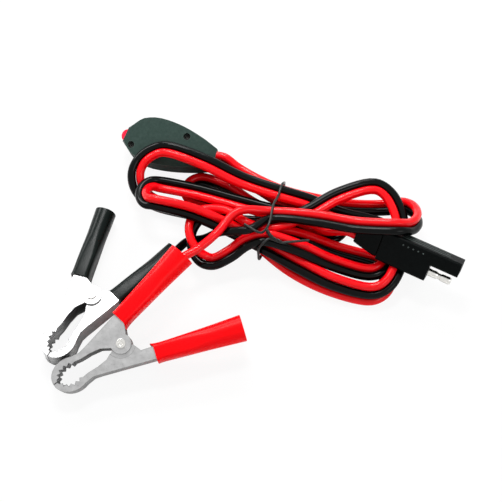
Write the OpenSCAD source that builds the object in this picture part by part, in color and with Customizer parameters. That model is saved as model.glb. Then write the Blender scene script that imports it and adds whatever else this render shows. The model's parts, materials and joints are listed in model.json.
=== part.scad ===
// Battery lead set: two sprung battery clips, an inline rocker switch and a two-pole plug,
// joined by twin lead that is folded into a tied hank.
// It lies on the plane z = 0, with the clips to the lower left as seen from above.
// The origin is on that plane, under the middle of the clips and the switch box.

/* [Lead] */
// Outer diameter of one insulated conductor
wire_d = 3.6; // [3.4:0.1:3.6]
// Distance between the centres of the red and the black conductor
pair_pitch = 4; // [4:0.1:4.1]
// Diameter of the wire that ties the hank
tie_d = 1.2; // [1:0.1:1.2]

/* [Clips] */
// Outside depth of a lever's channel, along the rivet
clip_depth = 10; // [9.4:0.2:10]
// Thickness of a lever's sheet steel
sheet_t = 1; // [0.8:0.1:1]
// Diameter of the rivet's shank
rivet_d = 2.9; // [2.6:0.1:2.9]
// Radius of the ear round the rivet
ear_r = 4.6; // [4.2:0.1:4.7]
// Length of a red sleeve
red_sleeve_l = 39.6; // [36:0.2:39.6]
// Length of a black sleeve
black_sleeve_l = 35; // [35:0.2:39]
// Wall thickness of a sleeve
sleeve_wall = 0.7; // [0.5:0.1:0.7]
// Width of a sleeve where it starts on the handle
sleeve_start_w = 7.8; // [7.8:0.1:8.2]
// Width of a red sleeve at its open end
red_sleeve_end_w = 12; // [11:0.2:12]
// Width of a black sleeve at its open end
black_sleeve_end_w = 9.6; // [9.6:0.2:11]
// Distance by which the loose red sleeve has slid outwards
red_sleeve_slip = 5.8; // [0:0.2:5.8]
// Diameter of the spring wire
spring_d = 1.2; // [1:0.1:1.2]

/* [Switch] */
// Length of the switch box along its axis
box_l = 44; // [43:0.5:45]
// Greatest width of the switch box
box_w = 22; // [21:0.2:23]
// Width of the box at its rocker end
box_end_w = 11; // [11:0.2:12]
// Width of the box at its lead end
box_tail_w = 9.2; // [9.2:0.2:10]
// Thickness of the switch box
box_t = 12; // [12:0.2:13]
// Wall thickness of the switch box
box_wall = 1.4; // [1.2:0.1:1.6]
// Angle by which the rocker rests off its middle position
rocker_tilt = 14; // [10:1:14]

/* [Plug] */
// Width of the plug across its two poles
plug_w = 15; // [14.6:0.2:16]
// Thickness of the plug
plug_t = 8; // [8:0.2:9]
// Length of the plug's full-width body
plug_body_l = 24; // [22:0.5:26]
// Length of the barrel in front of the body
plug_barrel_l = 13; // [12:0.5:13]
// Diameter of the bare pin
pin_d = 3.6; // [3.2:0.1:3.6]
// Length of the bare pin in front of the body
pin_l = 11; // [9:0.5:11]

/* [Hidden] */
$fn = 32;

// Colours
steel = [0.75, 0.75, 0.76];
red_vinyl = [0.93, 0.02, 0.05];
black_vinyl = [0.06, 0.08, 0.08];
box_grey = [0.24, 0.29, 0.28];
tinned = [0.82, 0.80, 0.76];
copper = [0.72, 0.45, 0.28];

// Running clearance round a rivet or trunnion, and gap between neighbouring pieces
run = 0.05;
gap = 0.15;
// Overlap of a cutting shape past the face that it cuts
cut = 1;

// ---- Places of the assemblies on the table ----
lay = [46.7, 3.75, 0];
red_clip_at = [-56.4, -50, 10.4];
red_clip_turn = [12.5, -8, 31];
black_clip_at = [-70.9, -26.4, 6];
black_clip_turn = [0, 0, 58.7];
switch_at = [-58.7, 55.6, 8.7];
switch_turn = [15, 0, -15];
plug_at = [58.6, -3.2, 16];
plug_turn = [50, 0, -26.7];

module place(at, turn) {
    translate(lay) translate(at) rotate([0, 0, turn[2]]) rotate([turn[0], turn[1], 0]) children();
}
function turned_x(p, a) = [p[0], p[1] * cos(a) - p[2] * sin(a), p[1] * sin(a) + p[2] * cos(a)];
function turned_y(p, a) = [p[0] * cos(a) + p[2] * sin(a), p[1], p[2] * cos(a) - p[0] * sin(a)];
function turned_z(p, a) = [p[0] * cos(a) - p[1] * sin(a), p[0] * sin(a) + p[1] * cos(a), p[2]];
// The point of the table's frame at p in a placed assembly's own frame
function placed(p, at, turn) = at + turned_z(turned_y(turned_x(p, turn[0]), turn[1]), turn[2]);

half_pitch = pair_pitch / 2;

// ---- Swept tubes ----
function unit(v) = v / norm(v);
function tangent(path, i) =
    let (n = len(path) - 1)
    i == 0 ? unit(path[1] - path[0])
    : i == n ? unit(path[n] - path[n - 1])
    : unit(unit(path[i] - path[i - 1]) + unit(path[i + 1] - path[i]));
function ring(path, i, r, sides, up) =
    let (t = tangent(path, i), a = unit(cross(up, t)), b = cross(t, a))
    [for (k = [0:sides - 1]) path[i] + r * cos(360 * k / sides) * a + r * sin(360 * k / sides) * b];
module tube(path, first, last, d, sides, up = [0, 0, 1]) {
    rings = [for (i = [first:last]) ring(path, i, d / 2, sides, up)];
    n = last - first;
    walls = [for (i = [0:n - 1], k = [0:sides - 1])
        let (a = i * sides + k, b = i * sides + (k + 1) % sides)
        each [[a, a + sides, b], [b, a + sides, b + sides]]];
    near_end = [for (k = [1:sides - 2]) [0, k, k + 1]];
    far_end = [for (k = [1:sides - 2]) [n * sides, n * sides + k + 1, n * sides + k]];
    polyhedron([for (r = rings) each r], concat(walls, near_end, far_end));
}

// ---- Battery clip, in its own frame: rivet at the origin, handles towards +X ----
half_depth = clip_depth / 2;
bite = 0.2;
jaw_x = -25.2;
jaw_outer = [8.6, 7.1];
tooth_root = [6.4, 4.7];
tooth_tip = [5.2, 3.5];
neck = [[-17.5, 6.1], [-14.5, 6.8]];
handle_back = [33.7, 20.9];
handle_front = [35.5, 14.6];
joggle_r = 6.4;
head_r = 2.1;
squeeze = 30;

function on_ellipse(r, a) = [jaw_x + r[0] * cos(a), bite + r[1] * sin(a)];
lever_back = concat([for (a = [180:-11.5:65]) on_ellipse(jaw_outer, a)], neck, [handle_back]);
lever_teeth = [for (i = [0:10]) on_ellipse(i % 2 == 0 ? tooth_root : tooth_tip, 50 + 12 * i)];
lever_window = [[4.4, 3.2], [2.5, bite], [-4.2, bite], [-5.6, 1], [-8.8, 2.8], [-13.6, 3.4], [-18.5, 3.4]];
lever_side = concat(lever_back, [handle_front, [5.9, 7.1]], lever_window, lever_teeth, [[-31.8, bite]]);
// The points of an edge moved inwards, to the right of its direction, by t
function inset(p, t) = [for (i = [0:len(p) - 1])
    let (a = p[max(i - 1, 0)], b = p[min(i + 1, len(p) - 1)], d = unit(b - a))
    p[i] + t * [d[1], -d[0]]];
function reversed(p) = [for (i = [len(p) - 1:-1:0]) p[i]];

module lever_plates(low, thick) {
    for (side = [-1, 1])
        translate([0, 0, side * (low + thick / 2) - thick / 2])
            linear_extrude(thick) polygon(lever_side);
}
module lever_spine() {
    strip = concat(lever_back, reversed(inset(lever_back, sheet_t)));
    translate([0, 0, -half_depth + sheet_t / 2]) linear_extrude(clip_depth - sheet_t) polygon(strip);
}
module ears(low) {
    for (side = [-1, 1])
        translate([0, 0, side * (low + sheet_t / 2) - sheet_t / 2]) cylinder(r = ear_r, h = sheet_t);
}
module rivet_hole() {
    cylinder(r = rivet_d / 2 + run, h = clip_depth + 2 * cut, center = true);
}
// The lever whose ears lie outside
module outer_lever() {
    color(steel) difference() {
        union() {
            lever_plates(half_depth - sheet_t, sheet_t);
            lever_spine();
            ears(half_depth - sheet_t);
        }
        rivet_hole();
    }
}
// The lever whose ears are joggled inwards, so that they turn between the outer ones
module inner_lever() {
    inner_low = half_depth - 2 * sheet_t - gap;
    color(steel) difference() {
        union() {
            difference() {
                lever_plates(half_depth - sheet_t, sheet_t);
                cylinder(r = joggle_r, h = clip_depth + cut, center = true);
            }
            intersection() {
                lever_plates(inner_low, 2 * sheet_t + gap);
                difference() {
                    cylinder(r = joggle_r + sheet_t, h = clip_depth + cut, center = true);
                    cylinder(r = joggle_r, h = clip_depth + 2 * cut, center = true);
                }
            }
            intersection() {
                lever_plates(inner_low, sheet_t);
                cylinder(r = joggle_r + sheet_t / 2, h = clip_depth + cut, center = true);
            }
            lever_spine();
            ears(inner_low);
        }
        rivet_hole();
    }
}
module clip_rivet() {
    dish_r = 0.9;
    dish_h = 0.35;
    head_h = 0.8;
    color(tinned) difference() {
        union() {
            cylinder(r = rivet_d / 2, h = clip_depth + 2 * head_h, center = true);
            for (side = [0, 180])
                rotate([side, 0, 0]) translate([0, 0, half_depth + run])
                    cylinder(r = head_r, h = head_h - run);
        }
        for (side = [0, 180])
            rotate([side, 0, 0]) translate([0, 0, half_depth + head_h - dish_h])
                cylinder(r = dish_r, h = cut);
    }
}
// Torsion spring: three and a quarter coils round the rivet, with a leg under each handle
coil_r = 3;
coil_turns = 3;
coil_rings = 8;
leg_angle = 43;
leg_l = 14;
coil_sweep = 360 * coil_turns + 180 - 2 * leg_angle;
coil_steps = coil_rings * coil_turns + 2;
spring_height = 4.2;
function coil_point(i) =
    let (a = 90 + leg_angle + coil_sweep * i / coil_steps)
    [coil_r * cos(a), coil_r * sin(a), spring_height * (0.5 - i / coil_steps)];
function leg_end(side) =
    let (start = coil_point(side > 0 ? 0 : coil_steps))
    start + leg_l * [cos(leg_angle), side * sin(leg_angle), 0];
spring_path = concat([leg_end(1)], [for (i = [0:coil_steps]) coil_point(i)], [leg_end(-1)]);
module clip_spring() {
    color(tinned) tube(spring_path, 0, len(spring_path) - 1, spring_d, 6);
}
// Sleeves and wire ends, along the handle's own axis
sleeve_from = [5, 9.8, 0];
sleeve_angle = 15.3;
sleeve_h = clip_depth + 0.6 + 2 * sleeve_wall;
sleeve_corner = 1.8;
lug_from = 18;
lug_l = 8;
lug_r = 2.2;
core_r = 1.25;
module on_handle() {
    translate(sleeve_from) rotate([0, 0, sleeve_angle]) children();
}
module rounded_taper(l, end_w, inset, past) {
    hull() for (x = [-past, l + past]) {
        r = sleeve_corner - inset;
        y = (sleeve_start_w + (end_w - sleeve_start_w) * x / l) / 2 - sleeve_corner;
        z = sleeve_h / 2 - sleeve_corner;
        for (sy = [-1, 1], sz = [-1, 1])
            translate([x, sy * y, sz * z]) rotate([0, 90, 0]) cylinder(r = r, h = 0.01, center = true);
    }
}
module sleeve(l, end_w, tint) {
    color(tint) on_handle() difference() {
        rounded_taper(l, end_w, 0, 0);
        rounded_taper(l, end_w, sleeve_wall, cut);
    }
}
module red_sleeve() { sleeve(red_sleeve_l, red_sleeve_end_w, red_vinyl); }
module black_sleeve() { sleeve(black_sleeve_l, black_sleeve_end_w, black_vinyl); }
module wire_lug() {
    foot_y = 2.5;
    color(tinned) on_handle() translate([lug_from, 0, 0]) difference() {
        union() {
            rotate([0, 90, 0]) cylinder(r = lug_r, h = lug_l);
            translate([1, 0, -lug_r / 2]) cube([lug_l - 2, foot_y, lug_r]);
        }
        translate([-cut, 0, 0]) rotate([0, 90, 0]) cylinder(r = core_r + run, h = lug_l + 2 * cut);
    }
}
module wire_core() {
    bare_l = 12;
    color(copper) on_handle() translate([lug_from + lug_l - bare_l, 0, 0])
        rotate([0, 90, 0]) cylinder(r = core_r, h = bare_l);
}
function handle_point(x) = sleeve_from + [x * cos(sleeve_angle), x * sin(sleeve_angle), 0];
function flipped(p) = [p[0], -p[1], p[2]];

module red_fixed_lever() { place(red_clip_at, red_clip_turn) outer_lever(); }
module red_moving_lever() { place(red_clip_at, red_clip_turn) mirror([0, 1, 0]) inner_lever(); }
module red_clip_rivet() { place(red_clip_at, red_clip_turn) clip_rivet(); }
module red_clip_spring() { place(red_clip_at, red_clip_turn) clip_spring(); }
module red_fixed_sleeve() { place(red_clip_at, red_clip_turn) red_sleeve(); }
module red_moving_sleeve() {
    slip = red_sleeve_slip * [cos(sleeve_angle), sin(sleeve_angle), 0];
    place(red_clip_at, red_clip_turn) mirror([0, 1, 0]) translate(slip) red_sleeve();
}
module red_wire_lug() { place(red_clip_at, red_clip_turn) wire_lug(); }
module red_wire_core() { place(red_clip_at, red_clip_turn) wire_core(); }
module black_fixed_lever() { place(black_clip_at, black_clip_turn) mirror([0, 1, 0]) inner_lever(); }
module black_moving_lever() { place(black_clip_at, black_clip_turn) outer_lever(); }
module black_clip_rivet() { place(black_clip_at, black_clip_turn) clip_rivet(); }
module black_clip_spring() { place(black_clip_at, black_clip_turn) clip_spring(); }
module black_fixed_sleeve() { place(black_clip_at, black_clip_turn) mirror([0, 1, 0]) black_sleeve(); }
module black_moving_sleeve() { place(black_clip_at, black_clip_turn) black_sleeve(); }
module black_wire_lug() { place(black_clip_at, black_clip_turn) mirror([0, 1, 0]) wire_lug(); }
module black_wire_core() { place(black_clip_at, black_clip_turn) mirror([0, 1, 0]) wire_core(); }

// ---- Switch box, in its own frame: axis along X from the rocker end, face towards +Z ----
widest_at = 15;
cavity_end = 38;
bevel_from = 38;
bevel_angle = 17;
seam = 0.05;
body_half = [4.9, 4.2];
body_l = 8.2;
screw_places = [[4.2, -4.6], [28.9, 5.2]];
boss_r = 2.5;
recess_r = 1.7;
recess_depth = 3.6;
screw_r = 0.8;
screw_head_r = 1.5;
tail_y = -1.4;
grommet_half = [3.95, 4];
grommet_l = 5;
box_stations = [0, 1.5, 3, 5, 7, 9.5, 12, 15, 18, 21, 24, 27, 30, 33, 36, 38, 40, 42, box_l];

// Distance of the box's edge from its axis at u, where it ends at tail
function box_edge(u, tail) = u < widest_at
    ? (box_end_w + (box_w - box_end_w) * sin(90 * u / widest_at)) / 2
    : tail + (box_w / 2 - tail) * cos(90 * (u - widest_at) / (box_l - widest_at));
function box_outline(inner, low, high) =
    let (u = [for (s = box_stations) if (s > low && s < high) s], edge = concat([low], u, [high]))
    concat([for (s = edge) [s, box_edge(s, box_tail_w / 2 + tail_y) - inner]],
           [for (s = reversed(edge)) [s, inner - box_edge(s, box_tail_w / 2 - tail_y)]]);

module at_switch() { place(switch_at, switch_turn) children(); }
module half_shell() {
    difference() {
        union() {
            difference() {
                translate([0, 0, seam]) linear_extrude(box_t / 2 - seam) polygon(box_outline(0, 0, box_l));
                linear_extrude(box_t / 2 - box_wall) polygon(box_outline(box_wall, box_wall, cavity_end));
            }
            for (p = screw_places)
                translate([p[0], p[1], seam]) cylinder(r = boss_r, h = box_t / 2 - 2 * seam);
        }
        translate([-cut, -body_half[0] - run, -cut])
            cube([body_l + cut + run, 2 * (body_half[0] + run), body_half[1] + run + cut]);
        translate([cavity_end - cut, tail_y - grommet_half[0] - run, -cut])
            cube([box_l, 2 * (grommet_half[0] + run), grommet_half[1] + run + cut]);
        translate([bevel_from, -box_w, box_t / 2]) rotate([0, bevel_angle, 0])
            cube([box_l, 2 * box_w, box_t]);
    }
}
module switch_upper_shell() {
    at_switch() color(box_grey) difference() {
        half_shell();
        for (p = screw_places) {
            translate([p[0], p[1], box_t / 2 - recess_depth]) cylinder(r = recess_r, h = box_t);
            translate([p[0], p[1], -cut]) cylinder(r = screw_r + gap, h = box_t);
        }
    }
}
module switch_lower_shell() {
    at_switch() color(box_grey) mirror([0, 0, 1]) difference() {
        half_shell();
        for (p = screw_places)
            translate([p[0], p[1], -cut]) cylinder(r = screw_r + run, h = box_t / 2);
    }
}
module switch_screws() {
    head_low = box_t / 2 - recess_depth + run;
    head_h = 1.3;
    slot_w = 0.5;
    shank_l = 5.6;
    at_switch() color(tinned) for (p = screw_places) translate([p[0], p[1], head_low]) difference() {
        union() {
            cylinder(r = screw_head_r, h = head_h);
            translate([0, 0, -shank_l]) cylinder(r = screw_r, h = shank_l + cut / 2);
        }
        translate([-screw_head_r, -slot_w / 2, head_h - slot_w]) cube([2 * screw_head_r, slot_w, cut]);
    }
}

// Rocker switch, set in the end of the box
rocker_pivot = 1.2;
rocker_half_z = 3.2;
bezel_t = 0.8;
bezel_half = [5.4, 4.8];
pocket_half = [4.4, 3.5];
pocket_end = 6.6;
trunnion_r = 0.8;
bar_pivot = 5.9;
bar_tilt = 5;
bar_pin_r = 0.4;
bar_pin_l = 7.8;
rocker_side = [[-1.7, 3.5], [-0.4, 3.4], [1.2, 3.3], [3.3, 2.4], [4.4, 0.8]];
module switch_body() {
    at_switch() color(black_vinyl) difference() {
        union() {
            translate([-bezel_t, -bezel_half[0], -bezel_half[1]])
                cube([bezel_t - run, 2 * bezel_half[0], 2 * bezel_half[1]]);
            translate([-bezel_t / 2, -body_half[0], -body_half[1]])
                cube([body_l + bezel_t / 2, 2 * body_half[0], 2 * body_half[1]]);
        }
        translate([-cut - bezel_t, -pocket_half[0], -pocket_half[1]])
            cube([pocket_end + bezel_t + cut, 2 * pocket_half[0], 2 * pocket_half[1]]);
        translate([rocker_pivot, 0, 0])
            cylinder(r = trunnion_r + run, h = 2 * (body_half[1] + cut), center = true);
        translate([bar_pivot, 0, 0]) cylinder(r = bar_pin_r + run, h = bar_pin_l + 2 * run, center = true);
        translate([screw_places[0][0], screw_places[0][1], 0])
            cylinder(r = screw_head_r + gap, h = 2 * (body_half[1] + cut), center = true);
        for (y = [-2.4, 0])
            translate([pocket_end - cut, y - 0.4 - run, -1.5 - run])
                cube([body_l, 0.8 + 2 * run, 3 + 2 * run]);
    }
}
module switch_rocker() {
    crown = [-1.2, 0];
    at_switch() translate([rocker_pivot, 0, 0]) rotate([0, 0, rocker_tilt]) translate([-rocker_pivot, 0, 0])
        color(red_vinyl) union() {
            translate([0, 0, -rocker_half_z]) linear_extrude(2 * rocker_half_z)
                polygon(concat([crown], rocker_side, reversed([for (p = rocker_side) [p[0], -p[1]]])));
            translate([rocker_pivot, 0, 0])
                cylinder(r = trunnion_r, h = 2 * body_half[1] - 0.2, center = true);
        }
}
module switch_contact_bar() {
    bar_t = 0.5;
    bar_half = 3;
    bar_w = 2.4;
    at_switch() translate([bar_pivot, 0, 0]) rotate([0, 0, -bar_tilt]) color(copper) union() {
        translate([-bar_t / 2, -bar_half, -bar_w / 2]) cube([bar_t, 2 * bar_half, bar_w]);
        cylinder(r = bar_pin_r, h = bar_pin_l, center = true);
    }
}
module switch_terminals() {
    blade_l = 5;
    at_switch() color(tinned) for (y = [-2.4, 0])
        translate([pocket_end + 0.1, y - 0.4, -1.5]) cube([body_l - pocket_end + blade_l, 0.8, 3]);
}
// Hook-up wires inside the box, from the grommet to the terminals and to the splice
inner_d = 2.8;
splice_at = [20, -6, 0];
splice_l = 8;
splice_r = 2;
red_wires = [
    [[39, 0.6, 2.1], [37.5, 0.6, 2.1], [33, 0.8, 2], [24, 1, 1.8], [16, 0.4, 1.6], [13.3, 0.4, 1.6]],
    [[39, -3.4, -2.1], [37.5, -3.4, -2.1], [33, -2.6, -2], [24, -2.4, -1.8],
        [16, -2.8, -1.6], [13.3, -2.8, -1.6]]
];
black_wires = [
    [[39, -3.4, 2.1], [37.5, -3.4, 2.1], [33, -5, 1.7], [30, -6, 0.6], [28, -6, 0.6]],
    [[39, 0.6, -2.1], [37.5, 0.6, -2.1], [36, 0, -1.1], [33, -2.2, 1.1], [30, -5.6, 0.6], [28, -5.6, 0.6]]
];
module wires_in_box(paths, tint) {
    at_switch() color(tint) for (p = paths) tube(p, 0, len(p) - 1, inner_d, 8);
}
module switch_red_wires() { wires_in_box(red_wires, red_vinyl); }
module switch_black_wires() { wires_in_box(black_wires, black_vinyl); }
module switch_splice() {
    at_switch() color(tinned) translate(splice_at) rotate([0, 90, 0]) cylinder(r = splice_r, h = splice_l);
}
module switch_grommet() {
    at_switch() color(black_vinyl)
        translate([box_l - grommet_l, tail_y - grommet_half[0], -grommet_half[1]])
            cube([grommet_l, 2 * grommet_half[0], 2 * grommet_half[1]]);
}

// ---- Plug, in its own frame: axis along X, poles towards +X, barrel on the +Y side ----
pole_y = plug_w / 4;
edge_r = 0.8;
barrel_low = 0.5;
socket_r = pin_d / 2 + run;
socket_outer = 2.6;
socket_l = 12;
pin_root = 10;
root_r = 1.4;
boot_l = 12;
boot_end = [8.8, 5];
module at_plug() { place(plug_at, plug_turn) children(); }
module bevelled_bar(l, low, high, t) {
    hull() {
        translate([0, low + edge_r, -t / 2]) cube([l, high - low - 2 * edge_r, t]);
        translate([0, low, -t / 2 + edge_r]) cube([l, high - low, t - 2 * edge_r]);
    }
}
module plug_moulding() {
    at_plug() color(black_vinyl) difference() {
        union() {
            bevelled_bar(plug_body_l, -plug_w / 2, plug_w / 2, plug_t);
            translate([plug_body_l - cut, 0, 0])
                bevelled_bar(plug_barrel_l + cut, barrel_low, plug_w / 2, plug_t);
        }
        translate([plug_body_l - pin_root, -pole_y, 0])
            rotate([0, 90, 0]) cylinder(r = root_r, h = pin_root + cut);
        translate([plug_body_l + plug_barrel_l - socket_l, pole_y + barrel_low / 2, 0])
            rotate([0, 90, 0]) cylinder(r = socket_outer, h = socket_l + cut);
    }
}
module plug_pin() {
    nose = 0.8;
    waist_from = 4;
    at_plug() color(tinned) translate([plug_body_l - pin_root, -pole_y, 0]) rotate([0, 90, 0]) difference() {
        union() {
            cylinder(r = root_r, h = pin_root + cut);
            translate([0, 0, pin_root]) cylinder(r = pin_d / 2, h = pin_l - nose);
            translate([0, 0, pin_root + pin_l - nose])
                cylinder(r1 = pin_d / 2, r2 = pin_d / 2 - nose / 2, h = nose);
        }
        translate([0, 0, pin_root + waist_from]) rotate_extrude() polygon([[pin_d, 0], [pin_d / 2, 0],
            [pin_d / 2 - 0.4, 0.8], [pin_d / 2 - 0.4, 1.8], [pin_d / 2, 2.6], [pin_d, 2.6]]);
    }
}
module plug_socket() {
    at_plug() color(tinned) translate([plug_body_l + plug_barrel_l - socket_l, pole_y + barrel_low / 2, 0])
        rotate([0, 90, 0]) difference() {
            cylinder(r = socket_outer, h = socket_l - 1);
            translate([0, 0, 1]) cylinder(r = socket_r, h = socket_l);
        }
}
module plug_boot() {
    at_plug() color(black_vinyl) hull() {
        translate([-run, 0, 0]) mirror([1, 0, 0])
            bevelled_bar(2, -plug_w / 2 + 1, plug_w / 2 - 1, plug_t - 1);
        translate([-boot_l, -boot_end[0] / 2, -boot_end[1] / 2]) cube([1, boot_end[0], boot_end[1]]);
    }
}

// ---- Route of the lead ----
// Each pass crosses the waist of the hank, and each lobe joins two passes.
waist_at = [9.5, 12.5];
waist_line = 72;
run_steps = 3;
arc_steps = 6;
free_sides = 8;
hank_sides = 6;

// The passes, lobes, bends and tails below weren't chosen by hand. A search program, started from places
// judged by eye in the photo, worked them out in steps of half a millimetre, and a script pasted them in.
// Only the short lobe's Y and its height out were then set by hand, and all of tie_route was.
// Passes: place along the waist, height, heading, roll of the pair
short_passes = [
    [-2, 16, 3, 0], [14.5, 7.5, -18, 180]
];
long_passes = [
    [3.5, 8.5, -14, 0], [-14.5, 9.5, -29.5, 0], [-5.5, 13, 1, 0],
    [-14, 16, -6, 0], [12, 12, -11, 0], [-6.5, 8.5, -3.5, 0],
    [-12.5, 4, -48, 0], [3.5, 4, -21, 0], [13, 4, -29, 0]
];
// Lobes: centre in X and Y, heading, reach, half width, way round, height out and back, roll out and back
short_lobes = [
    [65, 10.5, 6, 10.5, 10.5, 1, 25, 3, 0, 180]
];
long_lobes = [
    [-43.5, 22.5, 172, 6, 7, 1, 10, 19, 0, 60],
    [56, 1.5, -2, 12.5, 24.5, 1, 7, 14.5, 45, 0],
    [-19, 2.5, 190, 8.5, 11.5, 1, 11.5, 7.5, 180, 0],
    [54, -1, -5, 10, 12.5, 1, 6, 6.5, 0, 0],
    [-41.5, 33, 170, 12, 10.5, 1, 18.5, 3.5, 0, 0],
    [53, -14.5, -10, 9, 9.5, -1, 2, 2, 0, 0],
    [-23, 30, 170, 6, 5.5, -1, 2, 2, 0, 0],
    [35.5, 12, -10, 6, 5.5, 1, 2, 2, 0, 0]
];
// Bends of the single conductors behind the clips
red_clip_bend = [
    [-23, -7.5, 19.5], [-15.5, -1, 20.5], [-6, 10.5, 19.5]
];
black_clip_bend = [
    [-29, 4, 2], [-22, 3.5, 5.5], [-13.5, 2, 16], [-1, 1, 20.5]
];
// The pair's route, with its roll, behind the plug and in front of the switch box
plug_lead = [
    [35, 7.5, 9.5, 0], [27.5, 12.5, 7.5, 0]
];
short_tail = [
    [3.5, 30.5, 9, 180], [-7, 37, 9.5, 180]
];
long_tail = [
    [3.5, 32.5, 2.5, 0], [-8, 39, 4, 0]
];
// Tie: from its left end over the front of the waist, round it and up to its right end
tie_route = [
    [-3, 2.5, 23], [4, -1.5, 22.5], [6.5, 1, 20.5], [8.5, 6, 18.8],
    [10, 14, 18.8], [12.5, 21, 15.2], [14.2, 26.6, 15], [15.3, 29.4, 11.6],
    [15.5, 31, 8], [15.2, 30.2, 4.2], [14.5, 28, 1], [5, -2, 0.9],
    [3.8, -5.2, 2.6], [3.4, -6.4, 9.5], [3.5, -6, 15.5], [5.5, -4.6, 18.6],
    [8, -2.8, 19], [11, -3.6, 18.8], [14, -4.6, 18.6], [16, -4.2, 18.4],
    [26, -2.6, 17]
];

function along(a) = [cos(a), sin(a)];
function flat(p) = [p[0], p[1]];
function ease(s) = s * s * (3 - 2 * s);
function pass_point(p) = let (at = waist_at + p[0] * along(waist_line)) [at[0], at[1], p[1], p[3]];
// Points between p and q, leaving along tp and arriving along tq
function run_points(p, tp, q, tq) =
    let (m = norm(flat(q) - flat(p)))
    [for (i = [1:run_steps - 1])
        let (s = i / run_steps, e = ease(s), a = m * s * (1 - s) * (1 - s), b = m * s * s * (s - 1),
             at = flat(p) * (1 - e) + flat(q) * e + a * tp + b * tq)
        [at[0], at[1], p[2] + (q[2] - p[2]) * e, p[3] + (q[3] - p[3]) * e]];
function lobe_points(from, to, l, side) =
    let (u = along(l[2]), v = along(l[2] + 90 * l[5]),
         arc = [for (i = [0:arc_steps])
             let (s = i / arc_steps, at = flat(l) + l[3] * sin(180 * s) * u - l[4] * cos(180 * s) * v)
             [at[0], at[1], l[6] + (l[7] - l[6]) * s, l[8] + (l[9] - l[8]) * s]])
    concat([pass_point(from)], run_points(pass_point(from), side * along(from[2]), arc[0], u),
        arc, run_points(arc[arc_steps], -u, pass_point(to), -side * along(to[2])));
function hank_points(passes, lobes, side) = concat(
    [for (i = [0:len(lobes) - 1])
        each lobe_points(passes[i], passes[i + 1], lobes[i], i % 2 == 0 ? side : -side)],
    [pass_point(passes[len(lobes)])]);
// The centre line of one conductor, beside the pair's route p; the route's points carry x, y, z and roll
function plan_way(p, i) =
    let (n = len(p) - 1, before = unit(flat(p[max(i, 1)] - p[max(i, 1) - 1])),
         after = unit(flat(p[min(i, n - 1) + 1] - p[min(i, n - 1)])))
    unit(before + after);
function conductor(p, side) = [for (i = [0:len(p) - 1])
    let (w = plan_way(p, i), h = side * half_pitch, c = cos(p[i][3]))
    [p[i][0] - h * c * w[1], p[i][1] + h * c * w[0], p[i][2] + h * sin(p[i][3])]];
function with_roll(p, roll) = [p[0], p[1], p[2], roll];

// Fixed ends: straight into the switch box, the plug's boot and the clips' lugs
end_l = 4;
tail_z = 2.1;
function box_entry(past, z) = placed([box_l + past, tail_y, z], switch_at, switch_turn);
function boot_entry(past) = placed([-boot_l - past, 0, 0], plug_at, plug_turn);
short_end = [for (l = [end_l, 0]) with_roll(box_entry(l, tail_z), 180 - switch_turn[0])];
long_end = [for (l = [end_l, 0]) with_roll(box_entry(l, -tail_z), -switch_turn[0])];
plug_end = [for (l = [0, end_l]) with_roll(boot_entry(l), -plug_turn[0])];
red_clip_end = [for (l = [0, 4, 9]) placed(handle_point(lug_from + lug_l + l), red_clip_at, red_clip_turn)];
black_clip_end = [for (l = [0, 4, 9])
    placed(flipped(handle_point(lug_from + lug_l + l)), black_clip_at, black_clip_turn)];

short_pair = concat(hank_points(short_passes, short_lobes, 1), short_tail, short_end);
long_pair = concat(plug_end, plug_lead, hank_points(long_passes, long_lobes, -1), long_tail, long_end);
red_short = concat(red_clip_end, red_clip_bend, conductor(short_pair, 1));
black_short = concat(black_clip_end, black_clip_bend, conductor(short_pair, -1));
red_long = conductor(long_pair, 1);
black_long = conductor(long_pair, -1);

// Ring numbers at which each conductor passes from one node to the next
lobe_rings = arc_steps + 2 * run_steps;
red_loop_from = len(red_clip_end) + len(red_clip_bend);
black_loop_from = len(black_clip_end) + len(black_clip_bend);
short_rings = lobe_rings * len(short_lobes);
long_from = len(plug_end) + len(plug_lead);
long_rings = lobe_rings * len(long_lobes);

module lead(path, first, last, sides, tint) {
    translate(lay) color(tint) tube(path, first, last, wire_d, sides);
}
module red_clip_lead() { lead(red_short, 0, red_loop_from, free_sides, red_vinyl); }
module black_clip_lead() { lead(black_short, 0, black_loop_from, free_sides, black_vinyl); }
module red_short_loop() {
    lead(red_short, red_loop_from, red_loop_from + short_rings, hank_sides, red_vinyl);
}
module black_short_loop() {
    lead(black_short, black_loop_from, black_loop_from + short_rings, hank_sides, black_vinyl);
}
module red_switch_lead() {
    lead(red_short, red_loop_from + short_rings, len(red_short) - 1, free_sides, red_vinyl);
}
module black_switch_lead() {
    lead(black_short, black_loop_from + short_rings, len(black_short) - 1, free_sides, black_vinyl);
}
module red_hank() { lead(red_long, long_from, long_from + long_rings, hank_sides, red_vinyl); }
module black_hank() { lead(black_long, long_from, long_from + long_rings, hank_sides, black_vinyl); }
module red_outlet_lead() {
    lead(red_long, long_from + long_rings, len(red_long) - 1, free_sides, red_vinyl);
}
module black_outlet_lead() {
    lead(black_long, long_from + long_rings, len(black_long) - 1, free_sides, black_vinyl);
}
module red_plug_lead() { lead(red_long, 0, long_from, free_sides, red_vinyl); }
module black_plug_lead() { lead(black_long, 0, long_from, free_sides, black_vinyl); }

// Wire tie round the waist, with its two ends in front
module hank_tie() {
    tie_up = [0.3, -0.6, 0.75];
    translate(lay) color(black_vinyl) tube(tie_route, 0, len(tie_route) - 1, tie_d, free_sides, tie_up);
}

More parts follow.
